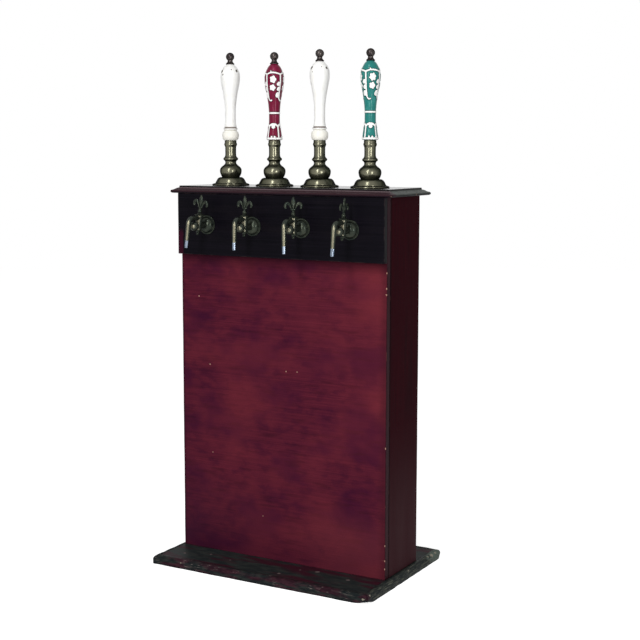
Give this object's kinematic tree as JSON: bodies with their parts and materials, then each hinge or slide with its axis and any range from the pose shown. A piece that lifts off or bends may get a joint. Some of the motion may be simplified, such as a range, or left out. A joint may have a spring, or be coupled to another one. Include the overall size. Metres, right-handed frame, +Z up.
{
  "type": "beer engine",
  "caption": "Free-standing wooden case with a row of hand pulls on top, taps on a front fascia, piston pumps and a rear door inside.",
  "frame": {"origin": "on the floor under the middle of the case", "axes": "+X along the row of pulls, -Y is the front with the taps, +Z up"},
  "size_m": [0.684, 0.45, 1.412],
  "materials": {
    "maroon_wood": "stained and varnished, brushed grain",
    "dark_wood": "dark stain, varnished",
    "black_wood": "near-black stain, glossy varnish",
    "edging_wood": "worn dark paint",
    "bare_wood": "unfinished pine",
    "old_brass": "aged, darkened in the hollows",
    "dark_brass": "antique dark",
    "bright_steel": "oiled",
    "gunmetal": "turned, dull",
    "copper": "dull tube",
    "silver": "plated",
    "ivory_glaze": "gloss",
    "crimson_glaze": "gloss, white raised ornament",
    "green_glaze": "gloss, white raised ornament"
  },
  "bodies": {
    "root": {"plinth_board": "maroon_wood", "plinth_edging": "edging_wood", "front_panel": "maroon_wood", "left_side": "dark_wood", "right_side": "dark_wood", "top_board": "black_wood", "fascia_board": "black_wood", "pump_shelf": "bare_wood", "case_battens": "bare_wood", "case_hinge_leaves": "old_brass", "pivot_pins": "bright_steel", "cylinder_caps": "gunmetal", "rosettes": "old_brass", "nozzles": "silver", "tail_nuts": "old_brass", "outlet_pipes": "copper", "inlet_tails": "old_brass", "bell_1": "old_brass", "cylinder_1": "gunmetal", "tap_body_1": "old_brass", "bell_2": "old_brass", "cylinder_2": "gunmetal", "tap_body_2": "old_brass", "bell_3": "old_brass", "cylinder_3": "gunmetal", "tap_body_3": "old_brass", "bell_4": "old_brass", "cylinder_4": "gunmetal", "tap_body_4": "old_brass"},
    "door": {"back_door": "dark_wood", "door_hinge_leaves": "old_brass", "door_knob": "old_brass"},
    "pull_1": {"column_1": "old_brass", "lever_1": "bright_steel", "grip_1": "ivory_glaze", "finial_1": "dark_brass"},
    "pump_rod_1": {"piston_1": "gunmetal", "crosshead_1": "gunmetal"},
    "key_1": {"tap_key_1": "old_brass"},
    "pull_2": {"column_2": "old_brass", "lever_2": "bright_steel", "grip_2": "crimson_glaze", "finial_2": "dark_brass"},
    "pump_rod_2": {"piston_2": "gunmetal", "crosshead_2": "gunmetal"},
    "key_2": {"tap_key_2": "old_brass"},
    "pull_3": {"column_3": "old_brass", "lever_3": "bright_steel", "grip_3": "ivory_glaze", "finial_3": "dark_brass"},
    "pump_rod_3": {"piston_3": "gunmetal", "crosshead_3": "gunmetal"},
    "key_3": {"tap_key_3": "old_brass"},
    "pull_4": {"column_4": "old_brass", "lever_4": "bright_steel", "grip_4": "green_glaze", "finial_4": "dark_brass"},
    "pump_rod_4": {"piston_4": "gunmetal", "crosshead_4": "gunmetal"},
    "key_4": {"tap_key_4": "old_brass"}
  },
  "joints": [
    {"name": "door_hinge", "type": "hinge", "parent": "root", "child": "door", "pos_m": [-0.301, 0.0985, 0.525], "axis": [0, 0, 1], "range_deg": [0, 110]},
    {"name": "pull_1_swing", "type": "hinge", "parent": "root", "child": "pull_1", "pos_m": [-0.2181, 0, 1.088], "axis": [1, 0, 0], "range_deg": [0, 30]},
    {"name": "piston_1_slide", "type": "slide", "parent": "root", "child": "pump_rod_1", "axis": [0, 1, 0], "range_m": [0, 0.057]},
    {"name": "key_1_turn", "type": "hinge", "parent": "root", "child": "key_1", "pos_m": [-0.21989, -0.153, 0.96183], "axis": [0.1305, 0, 0.9914], "range_deg": [0, 90]},
    {"name": "pull_2_swing", "type": "hinge", "parent": "root", "child": "pull_2", "pos_m": [-0.0747, 0, 1.088], "axis": [1, 0, 0], "range_deg": [0, 30]},
    {"name": "piston_2_slide", "type": "slide", "parent": "root", "child": "pump_rod_2", "axis": [0, 1, 0], "range_m": [0, 0.057]},
    {"name": "key_2_turn", "type": "hinge", "parent": "root", "child": "key_2", "pos_m": [-0.07448, -0.153, 0.96199], "axis": [0.0262, 0, 0.9997], "range_deg": [0, 90]},
    {"name": "pull_3_swing", "type": "hinge", "parent": "root", "child": "pull_3", "pos_m": [0.0672, 0, 1.088], "axis": [1, 0, 0], "range_deg": [0, 30]},
    {"name": "piston_3_slide", "type": "slide", "parent": "root", "child": "pump_rod_3", "axis": [0, 1, 0], "range_m": [0, 0.057]},
    {"name": "key_3_turn", "type": "hinge", "parent": "root", "child": "key_3", "pos_m": [0.0765, -0.153, 0.962], "axis": [0, 0, 1], "range_deg": [-30, 60]},
    {"name": "pull_4_swing", "type": "hinge", "parent": "root", "child": "pull_4", "pos_m": [0.2196, 0, 1.088], "axis": [1, 0, 0], "range_deg": [0, 30]},
    {"name": "piston_4_slide", "type": "slide", "parent": "root", "child": "pump_rod_4", "axis": [0, 1, 0], "range_m": [0, 0.057]},
    {"name": "key_4_turn", "type": "hinge", "parent": "root", "child": "key_4", "pos_m": [0.2234, -0.153, 0.96195], "axis": [0.0698, 0, 0.9976], "range_deg": [-90, 0]}
  ],
  "couplings": [
    {"joint": "piston_1_slide", "follows": "pull_1_swing", "m_per_rad": 0.10886},
    {"joint": "piston_2_slide", "follows": "pull_2_swing", "m_per_rad": 0.10886},
    {"joint": "piston_3_slide", "follows": "pull_3_swing", "m_per_rad": 0.10886},
    {"joint": "piston_4_slide", "follows": "pull_4_swing", "m_per_rad": 0.10886}
  ]
}
